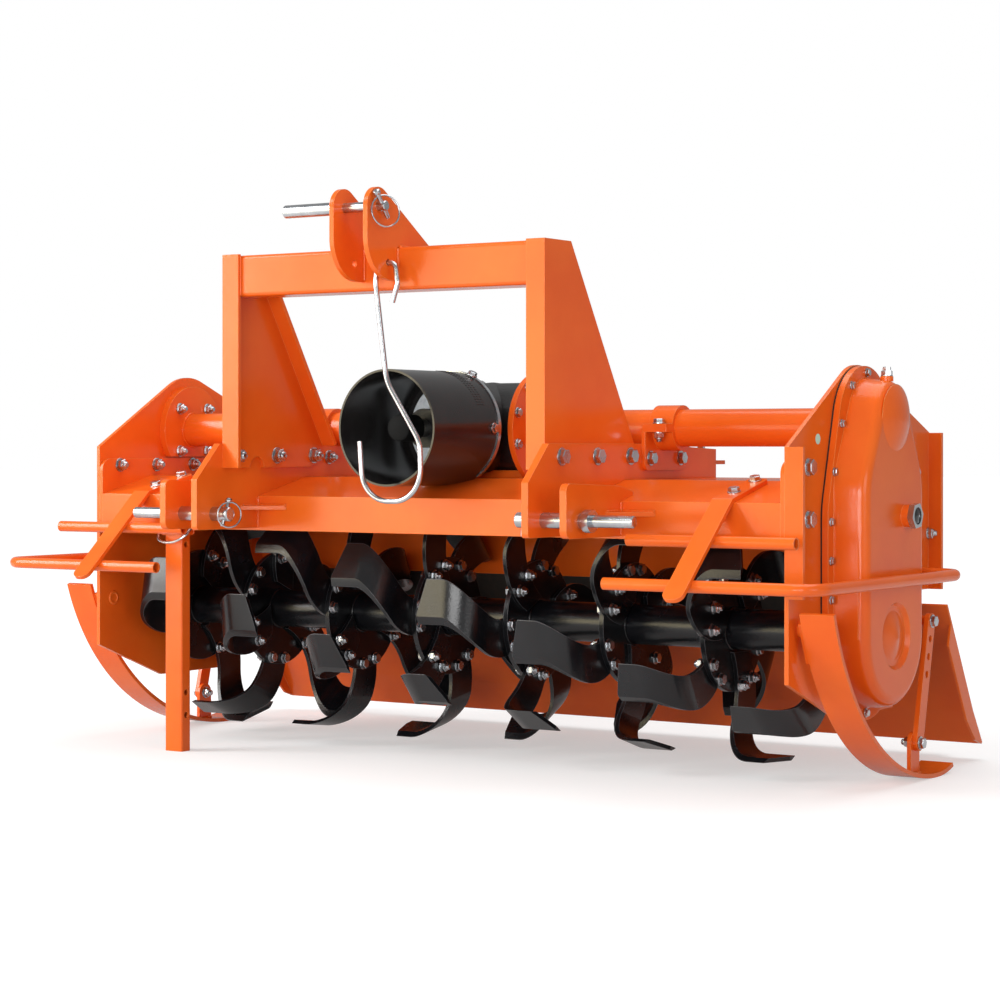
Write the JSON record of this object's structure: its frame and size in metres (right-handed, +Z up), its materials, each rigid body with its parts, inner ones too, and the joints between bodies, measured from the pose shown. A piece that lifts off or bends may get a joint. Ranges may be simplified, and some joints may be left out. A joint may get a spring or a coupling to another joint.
{
  "type": "rotavator",
  "caption": "Tractor-mounted rotary tiller with bladed rotor under a hood, side chain case, three-point headstock, side guards, skids, hinged tailboard and front parking stand.",
  "frame": {"origin": "on the floor below the rotor's axis, in the middle of the machine's width", "axes": "+X towards the chain case side, -Y towards the tractor, +Z up"},
  "size_m": [1.878, 0.974, 1.106],
  "materials": {
    "orange_paint": "semi-gloss powder coat",
    "black_paint": "satin black paint",
    "black_plastic": "moulded black guard",
    "gasket_rubber": "black sealing gasket",
    "machined_steel": "machined and oiled",
    "zinc_steel": "bright zinc plated",
    "sight_glass": "oil sight glass"
  },
  "bodies": {
    "frame": {"bearing_cap": "orange_paint", "chain_case": "orange_paint", "chain_case_gasket": "gasket_rubber", "cross_tube_left": "orange_paint", "cross_tube_right": "orange_paint", "crossbeam": "orange_paint", "front_beam": "orange_paint", "gearbox": "black_paint", "guard_arm_left": "orange_paint", "guard_arm_right": "orange_paint", "guard_bar_left": "orange_paint", "guard_bar_right": "orange_paint", "guard_hoop_left": "orange_paint", "guard_hoop_right": "orange_paint", "hood": "orange_paint", "hood_end_left": "orange_paint", "hood_end_right": "orange_paint", "link_ear_left": "orange_paint", "link_ear_right": "orange_paint", "link_plate_left": "orange_paint", "link_plate_right": "orange_paint", "lower_pin_left": "zinc_steel", "lower_pin_right": "zinc_steel", "oil_sight": "sight_glass", "pto_shield": "black_plastic", "rod_guide_left": "orange_paint", "rod_guide_right": "orange_paint", "side_plate_left": "orange_paint", "side_plate_right": "orange_paint", "skid_left": "orange_paint", "skid_right": "orange_paint", "skid_stay_left": "orange_paint", "skid_stay_right": "orange_paint", "stand_lock": "zinc_steel", "stand_sleeve": "orange_paint", "tail_hinge_rod": "zinc_steel", "top_link_pin": "zinc_steel", "top_link_plate_left": "orange_paint", "top_link_plate_right": "orange_paint", "tube_clamp_left": "orange_paint", "tube_clamp_right": "orange_paint", "upright_left": "orange_paint", "upright_right": "orange_paint"},
    "rotor": {"rotor_shaft": "black_paint", "blades_left": "black_paint", "blades_right": "black_paint"},
    "pto_shaft": {"pto_shaft": "machined_steel"},
    "tailboard": {"tailboard": "orange_paint"},
    "tail_rods": {"tail_rod_left": "zinc_steel", "tail_rod_right": "zinc_steel"},
    "stand_leg": {"stand_leg": "orange_paint"},
    "shaft_hook": {"shaft_hook": "zinc_steel"}
  },
  "joints": [
    {"name": "rotor_spin", "type": "hinge", "parent": "frame", "child": "rotor", "pos_m": [0, 0, 0.276], "axis": [1, 0, 0], "continuous": true},
    {"name": "pto_spin", "type": "hinge", "parent": "frame", "child": "pto_shaft", "pos_m": [0, -0.25, 0.658], "axis": [0, 1, 0], "continuous": true},
    {"name": "tail_swing", "type": "hinge", "parent": "frame", "child": "tailboard", "pos_m": [0, 0.269, 0.33], "axis": [1, 0, 0], "range_deg": [0, 55]},
    {"name": "rod_pivot", "type": "hinge", "parent": "tailboard", "child": "tail_rods", "pos_m": [0, 0.391, 0.205], "axis": [1, 0, 0], "range_deg": [-37, 0]},
    {"name": "stand_slide", "type": "slide", "parent": "frame", "child": "stand_leg", "axis": [0, 0, 1], "range_m": [0, 0.3]},
    {"name": "hook_swing", "type": "hinge", "parent": "frame", "child": "shaft_hook", "pos_m": [0, -0.421, 0.966], "axis": [1, 0, 0], "range_deg": [-95, 5]}
  ],
  "couplings": [
    {"joint": "pto_spin", "follows": "rotor_spin", "ratio": 2.5},
    {"joint": "rod_pivot", "follows": "tail_swing", "ratio": -0.649}
  ]
}
